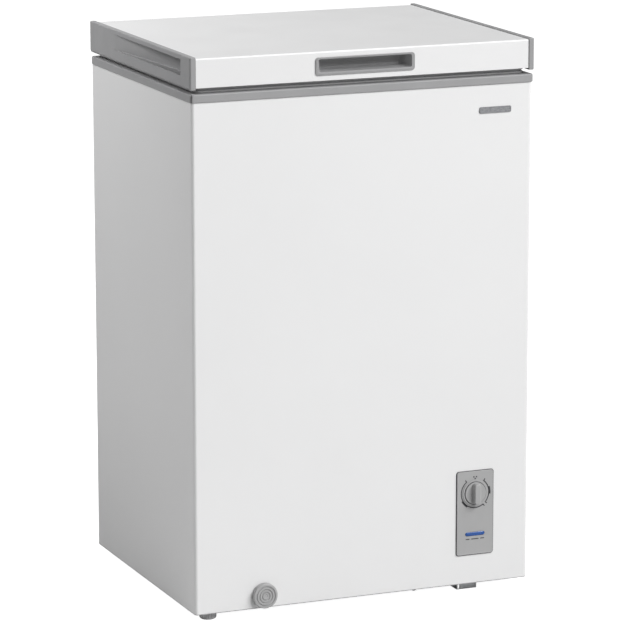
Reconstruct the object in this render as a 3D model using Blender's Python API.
"""A small top-opening chest freezer, built from its separate pieces.

Metres, +Z up. The origin is on the floor, at the middle of the freezer's outer box.
The front faces -Y and the lid's hinges are at the rear, +Y.
"""

from math import cos, radians, sin, tau

import bmesh
import bpy
from mathutils import Vector

# ---------------------------------------------------------------- driving dimensions

WIDTH = 0.545
DEPTH = 0.432
TOTAL_HEIGHT = 0.850
SHELL_BOTTOM = 0.0142
SHELL_TOP = 0.7833
WALL = 0.050
SHEET = 0.001
SHELL_RADIUS = 0.005
GAP = 0.0003

KNOB_STAND_OUT = 0.014
HINGE_STAND_OUT = 0.045
CAP_STAND_OUT = 0.0022

HALF = WIDTH / 2
FRONT = -(DEPTH + HINGE_STAND_OUT - KNOB_STAND_OUT) / 2
REAR = FRONT + DEPTH

# inside space: a deep well on the left, and a step over the compressor bay on the right
IN_X = HALF - WALL
IN_FRONT = FRONT + WALL
IN_REAR = REAR - WALL
FLOOR_Z = 0.069
STEP_X = 0.030
STEP_Z = 0.262
INSIDE_RADIUS = 0.010
COIL_SPACE = 0.009
SIDE_SPACE = 0.0065

# compressor bay, behind the lower right of the front
BAY_X = 0.074
BAY_TOP = 0.215
FOAM_BOTTOM = 0.0222
FOAM_TOP = 0.7820

# grey frame round the top of the cabinet
COLLAR_BOTTOM = SHELL_TOP + GAP
COLLAR_TOP = 0.7958
COLLAR_STAND_OUT = 0.002
LEDGE_Z = 0.7885
LEDGE_WIDTH = 0.010

# lid
LID_BOTTOM = 0.805
LID_TOP = 0.848
LID_FRONT = FRONT - 0.0012
LID_REAR = REAR + 0.003
CAP_BOTTOM = 0.802
CAP_WIDTH = 0.0082
CAP_FRONT = FRONT - 0.0024
CAP_REAR = REAR + 0.004
GRIP_DEPTH = 0.022
GRIP_START = FRONT + 0.0375
GRIP_END = FRONT + 0.330
GRIP_POCKET_END = FRONT + 0.250
GRIP_LOW = 0.8195
GRIP_HIGH = 0.8430
LINER_DROP = 0.7965

# front handle
HANDLE_HALF = 0.0795
HANDLE_LOW = 0.8125
HANDLE_HIGH = 0.8395
HANDLE_BORDER = 0.0050
HANDLE_DEPTH = 0.0240

# hinges
HINGE_X = 0.170
PIN_Y = REAR + 0.024
PIN_Z = 0.806
PIN_RADIUS = 0.0040
LID_ORIGIN = (0.0, PIN_Y, PIN_Z)
HINGE_HALF = 0.0190
ARM_HALF = 0.0140
SPRING_Y = REAR + 0.0125
PLUNGER_TOP = 0.7905
PLUNGER_BOTTOM = 0.7650

# controls
PANEL_LEFT = 0.1530
PANEL_RIGHT = 0.2135
PANEL_LOW = 0.0603
PANEL_HIGH = 0.1913
KNOB_X = 0.1830
KNOB_Z = 0.1570
KNOB_RADIUS = 0.0205
KNOB_BACK = FRONT - 0.0025
KNOB_FACE = FRONT - 0.0050
KNOB_RIM = FRONT - 0.0062
KNOB_RIM_WIDTH = 0.0025
KNOB_BAR_HALF = 0.0172
SHAFT_RADIUS = 0.0042
SHAFT_HOLE = 0.0046
LENS_Z = 0.0927
LENS_HALF_WIDTH = 0.0160
LENS_HALF_HEIGHT = 0.0030

# plain plate at the upper right
BADGE_LEFT = 0.1860
BADGE_RIGHT = 0.2380
BADGE_LOW = 0.7405
BADGE_HIGH = 0.7500
BADGE_THICK = 0.0015

# drain
DRAIN_X = -0.1628
DRAIN_Z = 0.0343
DRAIN_HOLE_Y = FRONT + 0.095
DRAIN_BORE = 0.0095
DRAIN_PIPE_RADIUS = DRAIN_BORE + 0.0015
DRAIN_ROOM_RADIUS = DRAIN_PIPE_RADIUS + 0.0004

# compressor and its pipes
COMPRESSOR_X = 0.172
COMPRESSOR_Y = REAR - 0.105
COMPRESSOR_RADIUS = 0.060
PLATE_Z = 0.0345
PLATE_THICK = 0.0030
MOUNT_DX = 0.062
MOUNT_DY = 0.047
DRIER_X = 0.098
PIPE_Y = REAR - 0.022
PIPE_Z = 0.0190
RISER_X = 0.200
RISER_Y = REAR - 0.070
CAPILLARY_X = 0.217
COIL_TOP = 0.605

# feet
FOOT_X = -0.2425
FOOT_INSET = 0.027
FOOT_RADIUS = 0.013
STEM_TOP = 0.0164
BRACKET_X = 0.1805

# wire basket, hung on the collar's ledge
BASKET_X = 0.115
BASKET_HALF = 0.100
BASKET_FLOOR = 0.600
BASKET_TOP = 0.790
BASKET_WIRE = 0.003

# colour, roughness, metallic
FINISHES = {
    "white_steel": ((0.83, 0.83, 0.83), 0.35, 0.0),
    "white_plastic": ((0.80, 0.81, 0.82), 0.45, 0.0),
    "grey_plastic": ((0.33, 0.33, 0.34), 0.50, 0.0),
    "mid_grey_plastic": ((0.37, 0.38, 0.39), 0.45, 0.0),
    "dark_plastic": ((0.05, 0.05, 0.055), 0.50, 0.0),
    "gasket_grey": ((0.21, 0.21, 0.22), 0.70, 0.0),
    "blue_lens": ((0.02, 0.13, 0.55), 0.25, 0.0),
    "foam": ((0.80, 0.72, 0.50), 0.90, 0.0),
    "zinc_steel": ((0.60, 0.61, 0.62), 0.40, 0.9),
    "black_steel": ((0.03, 0.03, 0.032), 0.45, 0.2),
    "copper": ((0.75, 0.36, 0.20), 0.35, 1.0),
    "spring_steel": ((0.35, 0.35, 0.36), 0.35, 1.0),
    "rubber": ((0.03, 0.03, 0.03), 0.80, 0.0),
    "foot_plastic": ((0.30, 0.30, 0.305), 0.45, 0.0),
    "white_wire": ((0.80, 0.80, 0.80), 0.40, 0.0),
    "silver": ((0.62, 0.63, 0.65), 0.30, 0.6),
}


# ---------------------------------------------------------------- modelling helpers


def clear_scene():
    for obj in list(bpy.data.objects):
        bpy.data.objects.remove(obj, do_unlink=True)


def finish_material(finish):
    found = bpy.data.materials.get(finish)
    if found:
        return found
    colour, roughness, metallic = FINISHES[finish]
    made = bpy.data.materials.new(finish)
    made.use_nodes = True
    shader = made.node_tree.nodes["Principled BSDF"]
    shader.inputs["Base Color"].default_value = (*colour, 1.0)
    shader.inputs["Roughness"].default_value = roughness
    shader.inputs["Metallic"].default_value = metallic
    made.diffuse_color = (*colour, 1.0)
    return made


def add_object(name, data, finish):
    obj = bpy.data.objects.new(name, data)
    bpy.context.scene.collection.objects.link(obj)
    if finish:
        data.materials.append(finish_material(finish))
    return obj


def mesh_object(name, bm, finish, smooth=False, origin=(0, 0, 0)):
    """Turn a bmesh drawn in world coordinates into an object whose origin is at the given point."""
    bmesh.ops.recalc_face_normals(bm, faces=bm.faces)
    bmesh.ops.translate(bm, verts=bm.verts, vec=-Vector(origin))
    mesh = bpy.data.meshes.new(name)
    bm.to_mesh(mesh)
    bm.free()
    if smooth:
        mesh.shade_smooth()
        mesh.set_sharp_from_angle(angle=radians(35))
    obj = add_object(name, mesh, finish)
    obj.location = origin
    return obj


def place(axis, along, u, v):
    """A point `along` the axis, with u and v on the other two axes in X, Y, Z order."""
    if axis == "X":
        return (along, u, v)
    if axis == "Y":
        return (u, along, v)
    return (u, v, along)


def prism(name, outline, axis, start, end, finish=None, origin=(0, 0, 0), round_edges=None):
    """An outline of (u, v) points, extruded along an axis.

    round_edges is (test, radius, segments), where test picks edges by their two ends.
    """
    bm = bmesh.new()
    base = bm.faces.new([bm.verts.new(place(axis, start, u, v)) for u, v in outline])
    made = bmesh.ops.extrude_face_region(bm, geom=[base])
    moved = [item for item in made["geom"] if isinstance(item, bmesh.types.BMVert)]
    bmesh.ops.translate(bm, verts=moved, vec=place(axis, end - start, 0, 0))
    bmesh.ops.recalc_face_normals(bm, faces=bm.faces)
    if round_edges:
        test, radius, segments = round_edges
        chosen = [edge for edge in bm.edges if test(edge.verts[0].co, edge.verts[1].co)]
        bmesh.ops.bevel(
            bm, geom=chosen, offset=radius, segments=segments, profile=0.5, affect="EDGES"
        )
    return mesh_object(name, bm, finish, origin=origin)


def block(name, low, high, finish=None, origin=(0, 0, 0), round_edges=None):
    outline = [(low[0], low[1]), (high[0], low[1]), (high[0], high[1]), (low[0], high[1])]
    return prism(name, outline, "Z", low[2], high[2], finish, origin, round_edges)


def arc(centre, radius, start, end, steps):
    """Points on a circle from the start angle to the end angle, in degrees."""
    return [
        (
            centre[0] + radius * cos(radians(start + (end - start) * i / steps)),
            centre[1] + radius * sin(radians(start + (end - start) * i / steps)),
        )
        for i in range(steps + 1)
    ]


def rounded_rectangle(left, right, low, high, radius, steps=3):
    corners = [
        ((right - radius, low + radius), -90),
        ((right - radius, high - radius), 0),
        ((left + radius, high - radius), 90),
        ((left + radius, low + radius), 180),
    ]
    return [p for centre, start in corners for p in arc(centre, radius, start, start + 90, steps)]


def cylinder(name, axis, centre, start, end, radius, segments=16, finish=None, origin=(0, 0, 0)):
    outline = arc(centre, radius, 0, 360, segments)[:-1]
    obj = prism(name, outline, axis, start, end, finish, origin)
    obj.data.shade_smooth()
    obj.data.set_sharp_from_angle(angle=radians(35))
    return obj


def turned(name, axis, centre, profile, segments, finish, origin=(0, 0, 0), ring=False):
    """Spin a profile of (radius, position along the axis) points; a ring's profile is a closed loop."""
    bm = bmesh.new()
    verts = [bm.verts.new(place(axis, along, centre[0] + r, centre[1])) for r, along in profile]
    last = len(verts) if ring else len(verts) - 1
    edges = [bm.edges.new((verts[i], verts[(i + 1) % len(verts)])) for i in range(last)]
    bmesh.ops.spin(
        bm,
        geom=verts + edges,
        cent=place(axis, 0, centre[0], centre[1]),
        axis=place(axis, 1, 0, 0),
        angle=tau,
        steps=segments,
        use_merge=True,
    )
    bmesh.ops.remove_doubles(bm, verts=bm.verts, dist=1e-6)
    return mesh_object(name, bm, finish, smooth=True, origin=origin)


def rounded_path(corners, radius, steps=2):
    """A path through corner points, with each corner between the ends rounded off."""
    corners = [Vector(c) for c in corners]
    path = [corners[0]]
    for before, corner, after in zip(corners, corners[1:], corners[2:]):
        back = (before - corner).normalized()
        ahead = (after - corner).normalized()
        reach = min(radius, (before - corner).length * 0.49, (after - corner).length * 0.49)
        for i in range(steps + 1):
            t = i / steps
            path.append(corner + back * reach * (1 - t) ** 2 + ahead * reach * t**2)
    path.append(corners[-1])
    return path


def tube(name, points, radius, finish, resolution=1):
    curve = bpy.data.curves.new(name, "CURVE")
    curve.dimensions = "3D"
    curve.bevel_depth = radius
    curve.bevel_resolution = resolution
    curve.use_fill_caps = True
    spline = curve.splines.new("POLY")
    spline.points.add(len(points) - 1)
    for point, co in zip(spline.points, points):
        point.co = (*co, 1.0)
    return add_object(name, curve, finish)


def boolean(target, tool, operation):
    change = target.modifiers.new(f"{operation} {tool.name}", "BOOLEAN")
    change.operation = operation
    change.solver = "EXACT"
    change.object = tool
    tool.hide_render = True
    tool.display_type = "WIRE"


def cut(target, *tools):
    for tool in tools:
        boolean(target, tool, "DIFFERENCE")


def add(target, *tools):
    for tool in tools:
        boolean(target, tool, "UNION")


def on_top(height):
    """Picks the edges that lie at a height."""
    return lambda a, b: abs(a.z - height) < 1e-6 and abs(b.z - height) < 1e-6


def upright_at(y):
    """Picks the upright edges that stand at a depth."""
    return lambda a, b: abs(a.y - y) < 1e-6 and abs(b.y - y) < 1e-6 and abs(a.z - b.z) > 1e-6


# ---------------------------------------------------------------- cabinet walls


def outer_shell():
    """Front and both sides, folded from one sheet, with openings for the controls and the drain."""
    radius = SHELL_RADIUS
    inner = HALF - SHEET
    outside = (
        [(-HALF, REAR)]
        + arc((-HALF + radius, FRONT + radius), radius, 180, 270, 3)
        + arc((HALF - radius, FRONT + radius), radius, 270, 360, 3)
        + [(HALF, REAR)]
    )
    inside = (
        [(inner, REAR)]
        + arc((HALF - radius, FRONT + radius), radius - SHEET, 360, 270, 3)
        + arc((-HALF + radius, FRONT + radius), radius - SHEET, 270, 180, 3)
        + [(-inner, REAR)]
    )
    shell = prism("outer_shell", outside + inside, "Z", SHELL_BOTTOM, SHELL_TOP, "white_steel")
    control_hole = block(
        "cutter_control_hole",
        (PANEL_LEFT + 0.007, FRONT - 0.01, PANEL_LOW + 0.020),
        (PANEL_RIGHT - 0.007, FRONT + 0.01, PANEL_HIGH - 0.011),
    )
    drain_hole = cylinder(
        "cutter_shell_drain", "Y", (DRAIN_X, DRAIN_Z), FRONT - 0.01, FRONT + 0.01, 0.0115
    )
    cut(shell, control_hole, drain_hole)


def rear_panel():
    """Flat back, notched at the lower right for the compressor bay."""
    left, right = -HALF + SHEET + GAP, HALF - SHEET - GAP
    notch = BAY_X + SHEET
    outline = [
        (left, SHELL_BOTTOM),
        (notch, SHELL_BOTTOM),
        (notch, BAY_TOP),
        (right, BAY_TOP),
        (right, SHELL_TOP),
        (left, SHELL_TOP),
    ]
    panel = prism("rear_panel", outline, "Y", REAR - SHEET, REAR, "white_steel")
    cut(panel, *screw_cutters("panel"))


def base_pan():
    pan = block(
        "base_pan",
        (-HALF + SHEET + GAP, FRONT + SHEET + GAP, SHELL_BOTTOM),
        (BAY_X - GAP, REAR - SHEET - GAP, SHELL_BOTTOM + SHEET),
        "zinc_steel",
        round_edges=(upright_at(FRONT + SHEET + GAP), SHELL_RADIUS, 3),
    )
    for end, y in foot_rows():
        hole = cylinder(f"cutter_stem_{end}", "Z", (FOOT_X, y), 0.0, 0.03, 0.0047, 12)
        cut(pan, hole)


def compressor_base_plate():
    block(
        "compressor_base_plate",
        (BAY_X, FRONT + SHEET + GAP, SHELL_BOTTOM),
        (HALF - SHEET - GAP, REAR - SHEET - GAP, SHELL_BOTTOM + 0.002),
        "zinc_steel",
        round_edges=(upright_at(FRONT + SHEET + GAP), SHELL_RADIUS, 3),
    )


def bay_partition():
    """The folded sheet that walls off the compressor bay, with holes for the pipes."""
    inner = BAY_X + SHEET
    roof = BAY_TOP - SHEET
    right = HALF - SHEET - GAP
    bottom = SHELL_BOTTOM + 0.002 + GAP
    outline = [
        (BAY_X, bottom),
        (inner, bottom),
        (inner, roof),
        (right, roof),
        (right, BAY_TOP),
        (BAY_X, BAY_TOP),
    ]
    partition = prism(
        "bay_partition", outline, "Y", FRONT + SHELL_RADIUS, REAR - SHEET - GAP, "zinc_steel"
    )
    for number, y in enumerate((COMPRESSOR_Y, PIPE_Y)):
        hole = cylinder(
            f"cutter_side_hole_{number}", "X", (y, PIPE_Z + 0.001), BAY_X - 0.01, BAY_X + 0.01, 0.0042, 8
        )
        cut(partition, hole)
    for number, (x, y, radius) in enumerate(
        ((RISER_X, RISER_Y, 0.0060), (CAPILLARY_X, PIPE_Y, 0.0030))
    ):
        hole = cylinder(
            f"cutter_roof_hole_{number}", "Z", (x, y), BAY_TOP - 0.01, BAY_TOP + 0.01, radius, 8
        )
        cut(partition, hole)


def stepped_block(name, grow, top, finish=None):
    """The inside space, a well beside a step, grown outwards on every side but the top."""
    left, right = -IN_X - grow, IN_X + grow
    floor, step = FLOOR_Z - grow, STEP_Z - grow
    outline = [
        (left, top),
        (left, floor),
        (STEP_X + grow, floor),
        (STEP_X + grow, step),
        (right, step),
        (right, top),
    ]

    def below_top(a, b):
        return min(a.z, b.z) < top - 1e-6

    return prism(
        name,
        outline,
        "Y",
        IN_FRONT - grow,
        IN_REAR + grow,
        finish,
        round_edges=(below_top, INSIDE_RADIUS + grow * 0.5, 2),
    )


def inner_liner():
    """Embossed tub with a rim, and a drain hole in the floor of its well."""
    liner = stepped_block("inner_liner", SHEET, SHELL_TOP - 0.0003, "white_plastic")
    rim_width = 0.030
    rim = prism(
        "union_rim",
        rounded_rectangle(
            -IN_X - rim_width, IN_X + rim_width, IN_FRONT - rim_width, IN_REAR + rim_width, 0.02, 2
        ),
        "Z",
        SHELL_TOP - SHEET,
        SHELL_TOP,
    )
    add(liner, rim)
    hollow = stepped_block("cutter_liner_hollow", 0.0, SHELL_TOP + 0.02)
    hole = cylinder(
        "cutter_liner_drain", "Z", (DRAIN_X, DRAIN_HOLE_Y), FLOOR_Z - 0.01, FLOOR_Z + 0.01, DRAIN_BORE
    )
    cut(liner, hollow, hole)


def foam_body():
    """Insulation between the shell and the liner, with room for the coils, pipes and drain."""
    side = HALF - SHEET - SIDE_SPACE
    foam = block(
        "foam_body",
        (-side, FRONT + SHEET + GAP, FOAM_BOTTOM),
        (side, REAR - SHEET - GAP, FOAM_TOP),
        "foam",
    )
    hollow = stepped_block("cutter_foam_hollow", SHEET + COIL_SPACE, FOAM_TOP + 0.02)
    bay = block(
        "cutter_foam_bay", (BAY_X - GAP, FRONT - 0.01, 0.0), (HALF, REAR + 0.01, BAY_TOP + GAP)
    )
    channel = cylinder(
        "cutter_foam_channel", "Y", (DRAIN_X, DRAIN_Z), FRONT - 0.01, DRAIN_HOLE_Y + 0.013, DRAIN_ROOM_RADIUS
    )
    drain = cylinder(
        "cutter_foam_drain", "Z", (DRAIN_X, DRAIN_HOLE_Y), DRAIN_Z, FLOOR_Z + 0.005, DRAIN_ROOM_RADIUS
    )
    riser = cylinder(
        "cutter_foam_riser", "Z", (RISER_X, RISER_Y), BAY_TOP - 0.01, STEP_Z + 0.001, 0.0060, 8
    )
    chase = block(
        "cutter_foam_chase",
        (CAPILLARY_X - 0.003, PIPE_Y - 0.004, BAY_TOP - 0.01),
        (CAPILLARY_X + 0.003, REAR + 0.01, COIL_TOP + 0.003),
    )
    branch = block(
        "cutter_foam_branch",
        (CAPILLARY_X - 0.0025, REAR - 0.0450, COIL_TOP - 0.0035),
        (CAPILLARY_X + 0.0025, PIPE_Y + 0.003, COIL_TOP + 0.0025),
    )
    cut(foam, hollow, bay, channel, drain, riser, chase, branch)


def top_collar():
    """Grey frame that caps the walls, with a ledge round its opening that the basket hangs on."""
    out = HALF + COLLAR_STAND_OUT
    collar = prism(
        "top_collar",
        rounded_rectangle(-out, out, FRONT - COLLAR_STAND_OUT, REAR + COLLAR_STAND_OUT, 0.008),
        "Z",
        COLLAR_BOTTOM,
        COLLAR_TOP,
        "grey_plastic",
        round_edges=(on_top(COLLAR_TOP), 0.002, 2),
    )
    opening = prism(
        "cutter_collar_opening",
        rounded_rectangle(-IN_X, IN_X, IN_FRONT, IN_REAR, INSIDE_RADIUS, 2),
        "Z",
        COLLAR_BOTTOM - 0.01,
        COLLAR_TOP + 0.01,
    )
    ledge = prism(
        "cutter_collar_ledge",
        rounded_rectangle(
            -IN_X - 0.004, IN_X + 0.004, IN_FRONT - LEDGE_WIDTH, IN_REAR + LEDGE_WIDTH, 0.012, 2
        ),
        "Z",
        LEDGE_Z,
        COLLAR_TOP + 0.01,
    )
    cut(collar, opening, ledge)


# ---------------------------------------------------------------- feet


def foot_rows():
    return (("front", FRONT + FOOT_INSET), ("rear", REAR - FOOT_INSET))


def levelling_feet():
    """Screw feet under the left side, which turn to level the cabinet."""
    for end, y in foot_rows():
        top = SHELL_BOTTOM - GAP
        profile = [
            (0.0, 0.0),
            (FOOT_RADIUS - 0.003, 0.0),
            (FOOT_RADIUS, 0.003),
            (FOOT_RADIUS, top - 0.003),
            (FOOT_RADIUS - 0.001, top),
            (0.0040, top),
            (0.0040, STEM_TOP),
            (0.0, STEM_TOP),
        ]
        turned(
            f"levelling_foot_{end}", "Z", (FOOT_X, y), profile, 20, "foot_plastic", (FOOT_X, y, 0.0)
        )


def foot_brackets():
    """Pressed feet under the compressor bay: a top, a front and two flanges, slit beside the left."""
    thick = 0.0015
    half_width = 0.0165
    length = 0.030
    top = SHELL_BOTTOM - GAP
    left, right = BRACKET_X - half_width, BRACKET_X + half_width
    for end, outer, inward in (("front", FRONT + 0.021, 1), ("rear", REAR - 0.021, -1)):
        ends = sorted((outer, outer + inward * length))
        foot = block(
            f"foot_bracket_{end}", (left, ends[0], 0.0), (right, ends[1], top), "zinc_steel"
        )
        hollow_ends = sorted((outer + inward * thick, outer + inward * (length + 0.01)))
        hollow = block(
            f"cutter_bracket_{end}",
            (left + thick, hollow_ends[0], -0.01),
            (right - thick, hollow_ends[1], top - thick),
        )
        slit_ends = sorted((outer - inward * 0.005, outer + inward * 0.010))
        slit = block(
            f"cutter_slit_{end}",
            (left + thick + 0.0001, slit_ends[0], 0.0010),
            (left + thick + 0.0031, slit_ends[1], top - thick - 0.0001),
        )
        cut(foot, hollow, slit)


def base_screw():
    cylinder(
        "base_plate_screw",
        "Z",
        (0.0875, FRONT + 0.012),
        SHELL_BOTTOM - 0.0040,
        SHELL_BOTTOM - GAP,
        0.0042,
        6,
        "black_steel",
    )


# ---------------------------------------------------------------- controls on the front


def control_panel():
    panel = prism(
        "control_panel",
        rounded_rectangle(PANEL_LEFT, PANEL_RIGHT, PANEL_LOW, PANEL_HIGH, 0.003),
        "Y",
        FRONT - 0.0022,
        FRONT - GAP,
        "mid_grey_plastic",
    )
    shaft_hole = cylinder(
        "cutter_panel_shaft", "Y", (KNOB_X, KNOB_Z), FRONT - 0.01, FRONT + 0.01, SHAFT_HOLE
    )
    slot = prism(
        "cutter_panel_slot", lens_outline(GAP), "Y", FRONT - 0.01, FRONT + 0.01
    )
    cut(panel, shaft_hole, slot)


def lens_outline(grow):
    middle = (PANEL_LEFT + PANEL_RIGHT) / 2
    half_width = LENS_HALF_WIDTH + grow
    half_height = LENS_HALF_HEIGHT + grow
    return rounded_rectangle(
        middle - half_width,
        middle + half_width,
        LENS_Z - half_height,
        LENS_Z + half_height,
        half_height * 0.95,
    )


def indicator_lens():
    prism("indicator_lens", lens_outline(0.0), "Y", FRONT - 0.0028, FRONT + 0.0040, "blue_lens")


def thermostat_body():
    body = block(
        "thermostat_body",
        (KNOB_X - 0.020, FRONT + 0.0045, KNOB_Z - 0.022),
        (KNOB_X + 0.020, FRONT + 0.0400, KNOB_Z + 0.022),
        "dark_plastic",
    )
    hole = cylinder(
        "cutter_thermostat", "Y", (KNOB_X, KNOB_Z), FRONT, FRONT + 0.0120, SHAFT_HOLE
    )
    cut(body, hole)


def thermostat_knob():
    """Dished disc with a grip bar across it and a shaft behind, all one moulding."""
    profile = [
        (0.0, FRONT + 0.0100),
        (SHAFT_RADIUS, FRONT + 0.0100),
        (SHAFT_RADIUS, KNOB_BACK),
        (KNOB_RADIUS, KNOB_BACK),
        (KNOB_RADIUS, KNOB_RIM + 0.0010),
        (KNOB_RADIUS - 0.0012, KNOB_RIM),
        (KNOB_RADIUS - KNOB_RIM_WIDTH, KNOB_RIM),
        (KNOB_RADIUS - KNOB_RIM_WIDTH - 0.0010, KNOB_FACE),
        (0.0, KNOB_FACE),
    ]
    origin = (KNOB_X, FRONT, KNOB_Z)
    knob = turned("thermostat_knob", "Y", (KNOB_X, KNOB_Z), profile, 24, "mid_grey_plastic", origin)
    bar = prism(
        "union_grip_bar",
        [
            (KNOB_X - 0.0062, KNOB_FACE + 0.0005),
            (KNOB_X - 0.0036, KNOB_FACE - 0.0020),
            (KNOB_X - 0.0025, FRONT - KNOB_STAND_OUT),
            (KNOB_X + 0.0025, FRONT - KNOB_STAND_OUT),
            (KNOB_X + 0.0036, KNOB_FACE - 0.0020),
            (KNOB_X + 0.0062, KNOB_FACE + 0.0005),
        ],
        "Z",
        KNOB_Z - KNOB_BAR_HALF,
        KNOB_Z + KNOB_BAR_HALF,
    )
    add(knob, bar)


def badge_plate():
    """Small plain plate at the upper right."""
    prism(
        "badge_plate",
        rounded_rectangle(BADGE_LEFT, BADGE_RIGHT, BADGE_LOW, BADGE_HIGH, 0.0020, 2),
        "Y",
        FRONT - BADGE_THICK,
        FRONT - GAP,
        "silver",
    )


# ---------------------------------------------------------------- drain


def drain_pipe():
    """Elbow from the hole in the well's floor to the front."""
    outer = DRAIN_PIPE_RADIUS
    pipe = cylinder(
        "drain_pipe",
        "Y",
        (DRAIN_X, DRAIN_Z),
        FRONT + SHEET + GAP,
        DRAIN_HOLE_Y + 0.0112,
        outer,
        16,
        "white_plastic",
    )
    riser = cylinder(
        "union_drain_riser", "Z", (DRAIN_X, DRAIN_HOLE_Y), DRAIN_Z, FLOOR_Z - SHEET - GAP, outer
    )
    bore = cylinder(
        "cutter_drain_bore", "Y", (DRAIN_X, DRAIN_Z), FRONT - 0.01, DRAIN_HOLE_Y + 0.0095, DRAIN_BORE
    )
    riser_bore = cylinder(
        "cutter_drain_riser",
        "Z",
        (DRAIN_X, DRAIN_HOLE_Y),
        DRAIN_Z + 0.0005,
        FLOOR_Z + 0.01,
        DRAIN_BORE - 0.0001,
    )
    add(pipe, riser)
    cut(pipe, bore, riser_bore)


def drain_spout():
    """Pipe inside the elbow, which pulls out of the front to let the water run clear of the cabinet."""
    start, end = FRONT - 0.0030, FRONT + 0.0600
    profile = [(0.0090, start), (0.0090, end), (0.0070, end), (0.0070, start)]
    turned(
        "drain_spout",
        "Y",
        (DRAIN_X, DRAIN_Z),
        profile,
        16,
        "grey_plastic",
        (DRAIN_X, FRONT, DRAIN_Z),
        ring=True,
    )


def drain_cap():
    """Ringed cap with a shallow skirt, turned to let the water out."""
    face = FRONT - 0.0090
    inner = FRONT - 0.0036
    profile = [
        (0.0, inner),
        (0.0172, inner),
        (0.0172, FRONT - 0.0006),
        (0.0192, FRONT - 0.0006),
        (0.0192, face + 0.0010),
        (0.0182, face),
        (0.0130, face),
        (0.0120, face + 0.0008),
        (0.0060, face + 0.0008),
        (0.0050, face),
        (0.0, face),
    ]
    turned(
        "drain_cap",
        "Y",
        (DRAIN_X, DRAIN_Z),
        profile,
        24,
        "mid_grey_plastic",
        (DRAIN_X, FRONT, DRAIN_Z),
    )


def drain_plug():
    """Stopper in the floor of the well."""
    profile = [
        (0.0, FLOOR_Z - 0.0090),
        (0.0080, FLOOR_Z - 0.0090),
        (0.0085, FLOOR_Z - 0.0060),
        (0.0085, FLOOR_Z + GAP),
        (0.0150, FLOOR_Z + GAP),
        (0.0150, FLOOR_Z + 0.0028),
        (0.0045, FLOOR_Z + 0.0036),
        (0.0045, FLOOR_Z + 0.0090),
        (0.0065, FLOOR_Z + 0.0100),
        (0.0, FLOOR_Z + 0.0115),
    ]
    centre = (DRAIN_X, DRAIN_HOLE_Y)
    turned("drain_plug", "Z", centre, profile, 20, "grey_plastic", (*centre, FLOOR_Z))


# ---------------------------------------------------------------- cooling circuit


def compressor():
    profile = [
        (0.0, PLATE_Z + PLATE_THICK + GAP),
        (0.045, PLATE_Z + PLATE_THICK + GAP),
        (0.058, 0.050),
        (COMPRESSOR_RADIUS, 0.060),
        (COMPRESSOR_RADIUS, 0.118),
        (0.056, 0.138),
        (0.043, 0.154),
        (0.022, 0.163),
        (0.0, 0.165),
    ]
    turned(
        "compressor_shell", "Z", (COMPRESSOR_X, COMPRESSOR_Y), profile, 24, "black_steel"
    )


def mount_points():
    return [
        (COMPRESSOR_X + side * MOUNT_DX, COMPRESSOR_Y + end * MOUNT_DY)
        for side in (-1, 1)
        for end in (-1, 1)
    ]


def compressor_mounts():
    """Foot plate on four rubber grommets, each held by a bolt through it."""
    margin = 0.012
    plate = prism(
        "compressor_foot_plate",
        rounded_rectangle(
            COMPRESSOR_X - MOUNT_DX - margin,
            COMPRESSOR_X + MOUNT_DX + margin,
            COMPRESSOR_Y - MOUNT_DY - margin,
            COMPRESSOR_Y + MOUNT_DY + margin,
            margin,
        ),
        "Z",
        PLATE_Z,
        PLATE_Z + PLATE_THICK,
        "black_steel",
    )
    base = SHELL_BOTTOM + 0.002 + GAP
    under = PLATE_Z - GAP
    over = PLATE_Z + PLATE_THICK + GAP
    for number, centre in enumerate(mount_points(), 1):
        cut(plate, cylinder(f"cutter_mount_{number}", "Z", centre, 0.0, 0.06, 0.0045, 10))
        grommet = [
            (0.0043, base),
            (0.0105, base),
            (0.0105, base + 0.005),
            (0.0080, base + 0.009),
            (0.0095, under),
            (0.0043, under),
        ]
        turned(f"compressor_grommet_{number}", "Z", centre, grommet, 12, "rubber", ring=True)
        head = over + 0.005
        bolt = [(0.0, base), (0.0035, base), (0.0035, over), (0.0070, over), (0.0070, head), (0.0, head)]
        turned(f"compressor_bolt_{number}", "Z", centre, bolt, 8, "zinc_steel")


def start_relay_cover():
    block(
        "start_relay_cover",
        (COMPRESSOR_X + COMPRESSOR_RADIUS + GAP, COMPRESSOR_Y - 0.025, 0.075),
        (COMPRESSOR_X + COMPRESSOR_RADIUS + 0.030, COMPRESSOR_Y + 0.025, 0.122),
        "dark_plastic",
        round_edges=(lambda a, b: min(a.x, b.x) > COMPRESSOR_X + COMPRESSOR_RADIUS + 0.02, 0.004, 2),
    )


def condenser_coil():
    """Warm pipe from the compressor, under the foam and up and down inside the left side sheet."""
    side_x = -HALF + SHEET + SIDE_SPACE / 2
    first_z, last_z, passes = 0.080, 0.700, 8
    forward, backward = FRONT + 0.040, REAR - 0.045
    corners = [
        (COMPRESSOR_X - COMPRESSOR_RADIUS - 0.0006, COMPRESSOR_Y, 0.070),
        (BAY_X + 0.014, COMPRESSOR_Y, 0.070),
        (BAY_X + 0.014, COMPRESSOR_Y, PIPE_Z),
        (side_x, COMPRESSOR_Y, PIPE_Z),
        (side_x, COMPRESSOR_Y, first_z),
    ]
    for number in range(passes):
        z = first_z + (last_z - first_z) * number / (passes - 1)
        near, far = (forward, backward) if number % 2 == 0 else (backward, forward)
        last = number == passes - 1
        if number:
            corners.append((side_x, far, z))
        corners.append((side_x, PIPE_Y if last else near, z))
    corners += [(side_x, PIPE_Y, PIPE_Z), (DRIER_X, PIPE_Y, PIPE_Z), (DRIER_X, PIPE_Y, 0.0797)]
    tube("condenser_coil", rounded_path(corners, 0.006), 0.0022, "copper")


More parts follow.
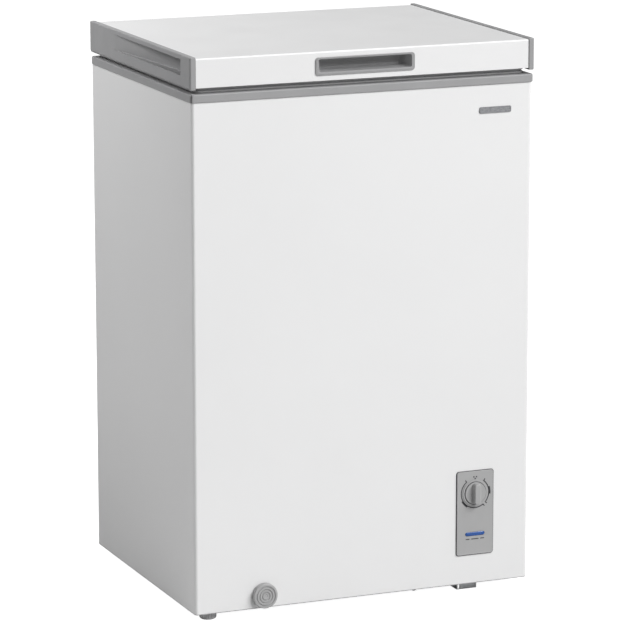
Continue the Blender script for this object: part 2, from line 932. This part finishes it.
def filter_drier():
    profile = [
        (0.0, 0.080),
        (0.0030, 0.080),
        (0.0090, 0.092),
        (0.0095, 0.096),
        (0.0095, 0.154),
        (0.0090, 0.158),
        (0.0020, 0.170),
        (0.0, 0.170),
    ]
    turned("filter_drier", "Z", (DRIER_X, PIPE_Y), profile, 14, "copper")


def capillary_tube():
    """Thin pipe from the drier to the top of the cold coil."""
    coil_y = IN_REAR + SHEET + COIL_SPACE / 2
    corners = [
        (DRIER_X, PIPE_Y, 0.1705),
        (DRIER_X, PIPE_Y, 0.195),
        (CAPILLARY_X, PIPE_Y, 0.195),
        (CAPILLARY_X, PIPE_Y, COIL_TOP),
        (CAPILLARY_X, coil_y, COIL_TOP),
        (CAPILLARY_X - 0.0045, coil_y, COIL_TOP),
    ]
    tube("capillary_tube", rounded_path(corners, 0.004), 0.0011, "copper")


def evaporator_coil():
    """Cold pipe wound round the outside of the liner, rising from the step."""
    offset = SHEET + COIL_SPACE / 2
    x = IN_X + offset
    front, rear = IN_FRONT - offset, IN_REAR + offset
    turns = 5
    first_z = 0.300
    end_x = CAPILLARY_X - 0.0049
    corners = [
        (RISER_X, RISER_Y, 0.2293),
        (RISER_X, RISER_Y, STEP_Z - offset),
        (x, RISER_Y, STEP_Z - offset),
        (x, RISER_Y, first_z),
    ]
    rise = (COIL_TOP - first_z) / (turns * 4 - 1)
    z = first_z
    for turn in range(turns):
        for cx, cy in ((x, front), (-x, front), (-x, rear), (x, rear)):
            last = turn == turns - 1 and (cx, cy) == (x, rear)
            if turn or (cx, cy) != (x, front):
                z += rise
            corners.append((end_x if last else cx, cy, z))
    tube("evaporator_coil", rounded_path(corners, 0.010), 0.0030, "copper")


def suction_line():
    """Return pipe from the cold coil down to the compressor."""
    corners = [
        (COMPRESSOR_X, COMPRESSOR_Y + COMPRESSOR_RADIUS + 0.0006, 0.095),
        (COMPRESSOR_X, COMPRESSOR_Y + COMPRESSOR_RADIUS + 0.018, 0.095),
        (COMPRESSOR_X, COMPRESSOR_Y + COMPRESSOR_RADIUS + 0.018, 0.185),
        (RISER_X, RISER_Y, 0.185),
        (RISER_X, RISER_Y, 0.2290),
    ]
    tube("suction_line", rounded_path(corners, 0.010), 0.0030, "copper")


# ---------------------------------------------------------------- rear cover and inlet


SCREW_PLACES = (("upper", 0.1800), ("lower", 0.0500))
SCREW_X = 0.0695


def screw_cutters(part):
    return [
        cylinder(f"cutter_{part}_screw_{which}", "Y", (SCREW_X, z), REAR - 0.01, REAR + 0.01, 0.0021, 8)
        for which, z in SCREW_PLACES
    ]


def compressor_cover():
    """Louvred sheet over the open back of the compressor bay."""
    low, high = SHELL_BOTTOM + 0.001, BAY_TOP + 0.009
    left, right = BAY_X - 0.010, HALF - SHEET
    cover = prism(
        "compressor_cover",
        rounded_rectangle(left, right, low, high, 0.004, 2),
        "Y",
        REAR + GAP,
        REAR + GAP + SHEET,
        "zinc_steel",
    )
    slots = 8
    for number in range(slots):
        z = 0.072 + 0.015 * number
        for half, slot_left in (("a", 0.084), ("b", 0.176)):
            slot = block(
                f"cutter_louvre_{half}{number}",
                (slot_left, REAR - 0.01, z),
                (slot_left + 0.080, REAR + 0.01, z + 0.006),
            )
            cut(cover, slot)
    inlet = cylinder(
        "cutter_cover_inlet", "Y", (0.240, 0.042), REAR - 0.01, REAR + 0.01, 0.0075
    )
    cut(cover, inlet, *screw_cutters("cover"))


def cover_screws():
    face = REAR + GAP + SHEET + GAP
    for which, z in SCREW_PLACES:
        profile = [
            (0.0, REAR - 0.0009),
            (0.0018, REAR - 0.0009),
            (0.0018, face),
            (0.0042, face),
            (0.0038, face + 0.0018),
            (0.0, face + 0.0024),
        ]
        turned(f"cover_screw_{which}", "Y", (SCREW_X, z), profile, 10, "zinc_steel")


def cord_gland():
    """Flanged bush that the mains cord enters through."""
    face = REAR + GAP + SHEET + GAP
    profile = [
        (0.0036, REAR - 0.0080),
        (0.0085, REAR - 0.0050),
        (0.0085, REAR - 0.0003),
        (0.0072, REAR - 0.0003),
        (0.0072, face),
        (0.0110, face),
        (0.0105, face + 0.0025),
        (0.0065, face + 0.0035),
        (0.0055, face + 0.0120),
        (0.0036, face + 0.0120),
    ]
    turned("cord_gland", "Y", (0.240, 0.042), profile, 16, "dark_plastic", ring=True)


# ---------------------------------------------------------------- hinges


def sides():
    return (("left", -HINGE_X), ("right", HINGE_X))


def hinge_base(side, x):
    """Housing on the cabinet's back, open at the top, with two ears that hold the pin."""
    deep = REAR + HINGE_STAND_OUT
    top = 0.7830
    base = block(
        f"hinge_base_{side}",
        (x - HINGE_HALF, REAR + GAP, 0.6900),
        (x + HINGE_HALF, deep, top),
        "grey_plastic",
        round_edges=(lambda a, b: min(a.y, b.y) > deep - 1e-6, 0.003, 2),
    )
    ear_radius = 0.0115
    outline = (
        [(PIN_Y - ear_radius, top - 0.010), (PIN_Y + ear_radius, top - 0.010)]
        + arc((PIN_Y, PIN_Z), ear_radius, 0, 180, 8)
    )
    for which, start in (("a", x - HINGE_HALF + 0.0002), ("b", x + 0.0150)):
        add(base, prism(f"union_ear_{side}_{which}", outline, "X", start, start + 0.0038))
    hollow = block(
        f"cutter_hinge_hollow_{side}",
        (x - 0.0120, REAR + 0.0055, 0.7000),
        (x + 0.0120, REAR + 0.0385, top + 0.005),
    )
    bore = cylinder(
        f"cutter_hinge_bore_{side}", "X", (PIN_Y, PIN_Z), x - 0.03, x + 0.03, PIN_RADIUS + GAP, 12
    )
    cut(base, hollow, bore)


def hinge_pin(side, x):
    head = 0.0022
    inner, outer = x - HINGE_HALF - GAP, x + HINGE_HALF + 0.0010
    profile = [
        (0.0, inner - head),
        (PIN_RADIUS + 0.0020, inner - head),
        (PIN_RADIUS + 0.0020, inner),
        (PIN_RADIUS, inner),
        (PIN_RADIUS, outer),
        (0.0, outer),
    ]
    turned(f"hinge_pin_{side}", "X", (PIN_Y, PIN_Z), profile, 12, "zinc_steel")


def hinge_arm(side, x):
    """Leaf fixed to the lid, with a knuckle round the pin and a finger that presses the plunger."""
    outline = [
        (PIN_Y - 0.0207, PIN_Z - 0.0060),
        (PIN_Y - 0.0145, PIN_Z - 0.0060),
        (PIN_Y - 0.0145, PIN_Z - 0.0150),
        (PIN_Y - 0.0095, PIN_Z - 0.0150),
        (PIN_Y - 0.0095, PIN_Z - 0.0060),
        (PIN_Y - 0.0010, PIN_Z - 0.0060),
        (PIN_Y - 0.0010, PIN_Z + 0.0060),
        (PIN_Y - 0.0185, PIN_Z + 0.0060),
        (PIN_Y - 0.0185, PIN_Z + 0.0360),
        (PIN_Y - 0.0207, PIN_Z + 0.0360),
    ]
    arm = prism(
        f"hinge_arm_{side}",
        outline,
        "X",
        x - ARM_HALF,
        x + ARM_HALF,
        "zinc_steel",
        (x, PIN_Y, PIN_Z),
    )
    knuckle = cylinder(
        f"union_knuckle_{side}",
        "X",
        (PIN_Y, PIN_Z),
        x - ARM_HALF + 0.0002,
        x + ARM_HALF - 0.0002,
        0.0080,
        16,
    )
    bore = cylinder(
        f"cutter_knuckle_{side}", "X", (PIN_Y, PIN_Z), x - 0.03, x + 0.03, PIN_RADIUS + GAP, 12
    )
    add(arm, knuckle)
    cut(arm, bore)


def hinge_plunger(side, x):
    block(
        f"hinge_plunger_{side}",
        (x - 0.0100, REAR + 0.0065, PLUNGER_BOTTOM),
        (x + 0.0100, REAR + 0.0150, PLUNGER_TOP),
        "zinc_steel",
        (x, SPRING_Y, PLUNGER_BOTTOM),
    )


def hinge_spring(side, x):
    """Coil spring under the plunger, which carries part of the lid's weight."""
    bottom, top = 0.7015, PLUNGER_BOTTOM - 0.0015
    radius, turns, per_turn = 0.0046, 5, 7
    points = []
    for i in range(turns * per_turn + 1):
        angle = tau * i / per_turn
        height = bottom + (top - bottom) * i / (turns * per_turn)
        points.append((x + radius * cos(angle), SPRING_Y + radius * sin(angle), height))
    tube(f"hinge_spring_{side}", points, 0.0009, "spring_steel", 0)


# ---------------------------------------------------------------- lid


def lid_outer_panel():
    """Top, front and rear of the lid, folded from one sheet, open at the ends and below."""
    radius = 0.0025
    outside = (
        [(LID_FRONT, LID_BOTTOM)]
        + arc((LID_FRONT + radius, LID_TOP - radius), radius, 180, 90, 3)
        + arc((LID_REAR - radius, LID_TOP - radius), radius, 90, 0, 3)
        + [(LID_REAR, LID_BOTTOM)]
    )
    inside = (
        [(LID_REAR - SHEET, LID_BOTTOM)]
        + arc((LID_REAR - radius, LID_TOP - radius), radius - SHEET, 0, 90, 3)
        + arc((LID_FRONT + radius, LID_TOP - radius), radius - SHEET, 90, 180, 3)
        + [(LID_FRONT + SHEET, LID_BOTTOM)]
    )
    end = HALF + CAP_STAND_OUT - CAP_WIDTH - GAP
    panel = prism("lid_outer_panel", outside + inside, "X", -end, end, "white_steel", LID_ORIGIN)
    window = block(
        "cutter_panel_handle",
        (-HANDLE_HALF + 0.0020, LID_FRONT - 0.01, HANDLE_LOW + 0.0015),
        (HANDLE_HALF - 0.0020, LID_FRONT + 0.01, HANDLE_HIGH - 0.0015),
    )
    cut(panel, window)


def lid_handle():
    """Recessed grip let into the front of the lid, with a flat border round its mouth."""
    face = LID_FRONT - 0.0014
    handle = prism(
        "lid_handle",
        rounded_rectangle(-HANDLE_HALF, HANDLE_HALF, HANDLE_LOW, HANDLE_HIGH, 0.004),
        "Y",
        face,
        LID_FRONT - GAP,
        "grey_plastic",
        LID_ORIGIN,
    )
    pocket = block(
        "union_handle_pocket",
        (-HANDLE_HALF + 0.0025, face + 0.0005, HANDLE_LOW + 0.0020),
        (HANDLE_HALF - 0.0025, FRONT + HANDLE_DEPTH, HANDLE_HIGH - 0.0020),
    )
    mouth = block(
        "cutter_handle_mouth",
        (-HANDLE_HALF + HANDLE_BORDER, LID_FRONT - 0.01, HANDLE_LOW + HANDLE_BORDER),
        (HANDLE_HALF - HANDLE_BORDER, FRONT + HANDLE_DEPTH - 0.0025, HANDLE_HIGH - 0.0030),
    )
    add(handle, pocket)
    cut(handle, mouth)


def lid_foam():
    end = HALF + CAP_STAND_OUT - CAP_WIDTH - 2 * GAP
    foam = block(
        "lid_foam",
        (-end, LID_FRONT + SHEET + 0.0004, LID_BOTTOM + 0.0010),
        (end, LID_REAR - SHEET - 0.0004, LID_TOP - SHEET - 0.0012),
        "foam",
        LID_ORIGIN,
    )
    handle_room = block(
        "cutter_foam_handle",
        (-HANDLE_HALF + 0.0015, LID_FRONT - 0.01, HANDLE_LOW + 0.0010),
        (HANDLE_HALF - 0.0015, FRONT + HANDLE_DEPTH + 0.0010, HANDLE_HIGH - 0.0010),
    )
    cut(foam, handle_room)
    for side, sign in (("left", -1), ("right", 1)):
        ends = sorted((sign * (HALF + CAP_STAND_OUT - GRIP_DEPTH - 0.0035), sign * HALF))
        room = block(
            f"cutter_foam_grip_{side}",
            (ends[0], GRIP_START - 0.0035, GRIP_LOW - 0.0030),
            (ends[1], GRIP_POCKET_END + 0.0010, GRIP_HIGH + 0.0025),
        )
        cut(foam, room)


def lid_end_cap(side, sign):
    """Grey moulding on the lid's end, with a finger scoop that is deepest near the front."""
    outer = HALF + CAP_STAND_OUT
    inner = outer - CAP_WIDTH
    corner = 0.005
    outline = (
        [(CAP_FRONT, CAP_BOTTOM)]
        + arc((CAP_REAR - corner, CAP_BOTTOM + corner), corner, 270, 360, 3)
        + [(CAP_REAR, TOTAL_HEIGHT), (CAP_FRONT, TOTAL_HEIGHT)]
    )
    ends = sorted((sign * inner, sign * outer))
    cap = prism(f"lid_end_cap_{side}", outline, "X", *ends, "grey_plastic", LID_ORIGIN)
    pocket_ends = sorted((sign * (inner + 0.0004), sign * (outer - GRIP_DEPTH - 0.0030)))
    pocket = block(
        f"union_grip_pocket_{side}",
        (pocket_ends[0], GRIP_START - 0.0030, GRIP_LOW - 0.0025),
        (pocket_ends[1], GRIP_POCKET_END, GRIP_HIGH + 0.0020),
    )
    floor = outer - GRIP_DEPTH
    past = outer + 0.001
    scoop = prism(
        f"cutter_grip_{side}",
        [
            (sign * past, GRIP_START),
            (sign * floor, GRIP_START),
            (sign * floor, GRIP_START + 0.012),
            (sign * past, GRIP_END),
        ],
        "Z",
        GRIP_LOW,
        GRIP_HIGH,
    )
    add(cap, pocket)
    cut(cap, scoop)


def lid_liner():
    """Inner skin of the lid, dropped in its middle so that it plugs the mouth of the freezer."""
    side = HALF + CAP_STAND_OUT - CAP_WIDTH - 0.0020
    level, thick = LID_BOTTOM - 0.0005, SHEET
    liner = block(
        "lid_liner",
        (-side, LID_FRONT + SHEET + 0.0006, level),
        (side, LID_REAR - SHEET - 0.0006, level + thick),
        "white_plastic",
        LID_ORIGIN,
    )
    inset = 0.009
    low = prism(
        "union_liner_drop",
        rounded_rectangle(
            -IN_X + inset, IN_X - inset, IN_FRONT + inset, IN_REAR - inset, 0.012, 2
        ),
        "Z",
        LINER_DROP,
        level + thick * 0.5,
        round_edges=(on_top(LINER_DROP), 0.004, 1),
    )
    hollow = prism(
        "cutter_liner_drop",
        rounded_rectangle(
            -IN_X + inset + 0.0030,
            IN_X - inset - 0.0030,
            IN_FRONT + inset + 0.0030,
            IN_REAR - inset - 0.0030,
            0.010,
            2,
        ),
        "Z",
        LINER_DROP + 0.0015,
        level + 0.02,
    )
    add(liner, low)
    cut(liner, hollow)


def lid_gasket():
    """Soft seal between the lid and the collar."""
    inset, width = 0.008, 0.014
    bottom, top = COLLAR_TOP + GAP, LID_BOTTOM - 0.0008
    x, front, rear = HALF - inset, FRONT + inset, REAR - inset
    gasket = prism(
        "lid_gasket",
        rounded_rectangle(-x, x, front, rear, 0.010, 2),
        "Z",
        bottom,
        top,
        "gasket_grey",
        LID_ORIGIN,
    )
    hole = prism(
        "cutter_gasket",
        rounded_rectangle(-x + width, x - width, front + width, rear - width, 0.006, 2),
        "Z",
        bottom - 0.01,
        top + 0.01,
    )
    cut(gasket, hole)


# ---------------------------------------------------------------- basket


def wire_basket():
    """Open-work basket with a rail along its front and rear that rides on the collar's ledge."""
    left, right = BASKET_X - BASKET_HALF, BASKET_X + BASKET_HALF
    front, rear = IN_FRONT + 0.006, IN_REAR - 0.006
    wire = BASKET_WIRE
    basket = block(
        "wire_basket",
        (left, front, BASKET_FLOOR),
        (right, rear, BASKET_TOP),
        "white_wire",
        (BASKET_X, 0.0, BASKET_TOP),
    )
    rail_reach = 0.0085
    for end, low, high in (
        ("front", IN_FRONT - rail_reach, front + wire),
        ("rear", rear - wire, IN_REAR + rail_reach),
    ):
        rail = block(
            f"union_rail_{end}",
            (left + 0.0003, low, LEDGE_Z + GAP),
            (right - 0.0003, high, LEDGE_Z + 0.0040),
        )
        add(basket, rail)
    hollow = block(
        "cutter_basket_hollow",
        (left + wire, front + wire, BASKET_FLOOR + wire),
        (right - wire, rear - wire, BASKET_TOP + 0.02),
    )
    cut(basket, hollow)
    across, along, up = 4, 4, 2
    rim = 0.006
    cell_x = (right - left - rim) / across
    cell_y = (rear - front - rim) / along
    cell_z = (BASKET_TOP - BASKET_FLOOR - 2 * rim) / up
    for i in range(across):
        x = left + rim + cell_x * i
        for j in range(up):
            z = BASKET_FLOOR + rim + cell_z * j
            window = block(
                f"cutter_basket_y_{i}{j}",
                (x, front - 0.001, z),
                (x + cell_x - rim, rear + 0.001, z + cell_z - rim),
            )
            cut(basket, window)
        for j in range(along):
            y = front + rim + cell_y * j
            window = block(
                f"cutter_basket_z_{i}{j}",
                (x, y, BASKET_FLOOR - 0.01),
                (x + cell_x - rim, y + cell_y - rim, BASKET_FLOOR + 0.01),
            )
            cut(basket, window)
    for i in range(along):
        y = front + rim + cell_y * i
        for j in range(up):
            z = BASKET_FLOOR + rim + cell_z * j
            window = block(
                f"cutter_basket_x_{i}{j}",
                (left - 0.01, y, z),
                (right + 0.01, y + cell_y - rim, z + cell_z - rim),
            )
            cut(basket, window)


# ---------------------------------------------------------------- build


def build():
    clear_scene()
    outer_shell()
    rear_panel()
    base_pan()
    compressor_base_plate()
    bay_partition()
    inner_liner()
    foam_body()
    top_collar()
    levelling_feet()
    foot_brackets()
    base_screw()
    control_panel()
    indicator_lens()
    thermostat_body()
    thermostat_knob()
    badge_plate()
    drain_pipe()
    drain_spout()
    drain_cap()
    drain_plug()
    compressor()
    compressor_mounts()
    start_relay_cover()
    condenser_coil()
    filter_drier()
    capillary_tube()
    evaporator_coil()
    suction_line()
    compressor_cover()
    cover_screws()
    cord_gland()
    for side, x in sides():
        hinge_base(side, x)
        hinge_pin(side, x)
        hinge_arm(side, x)
        hinge_plunger(side, x)
        hinge_spring(side, x)
    lid_outer_panel()
    lid_handle()
    lid_foam()
    for side, sign in (("left", -1), ("right", 1)):
        lid_end_cap(side, sign)
    lid_liner()
    lid_gasket()
    wire_basket()


build()
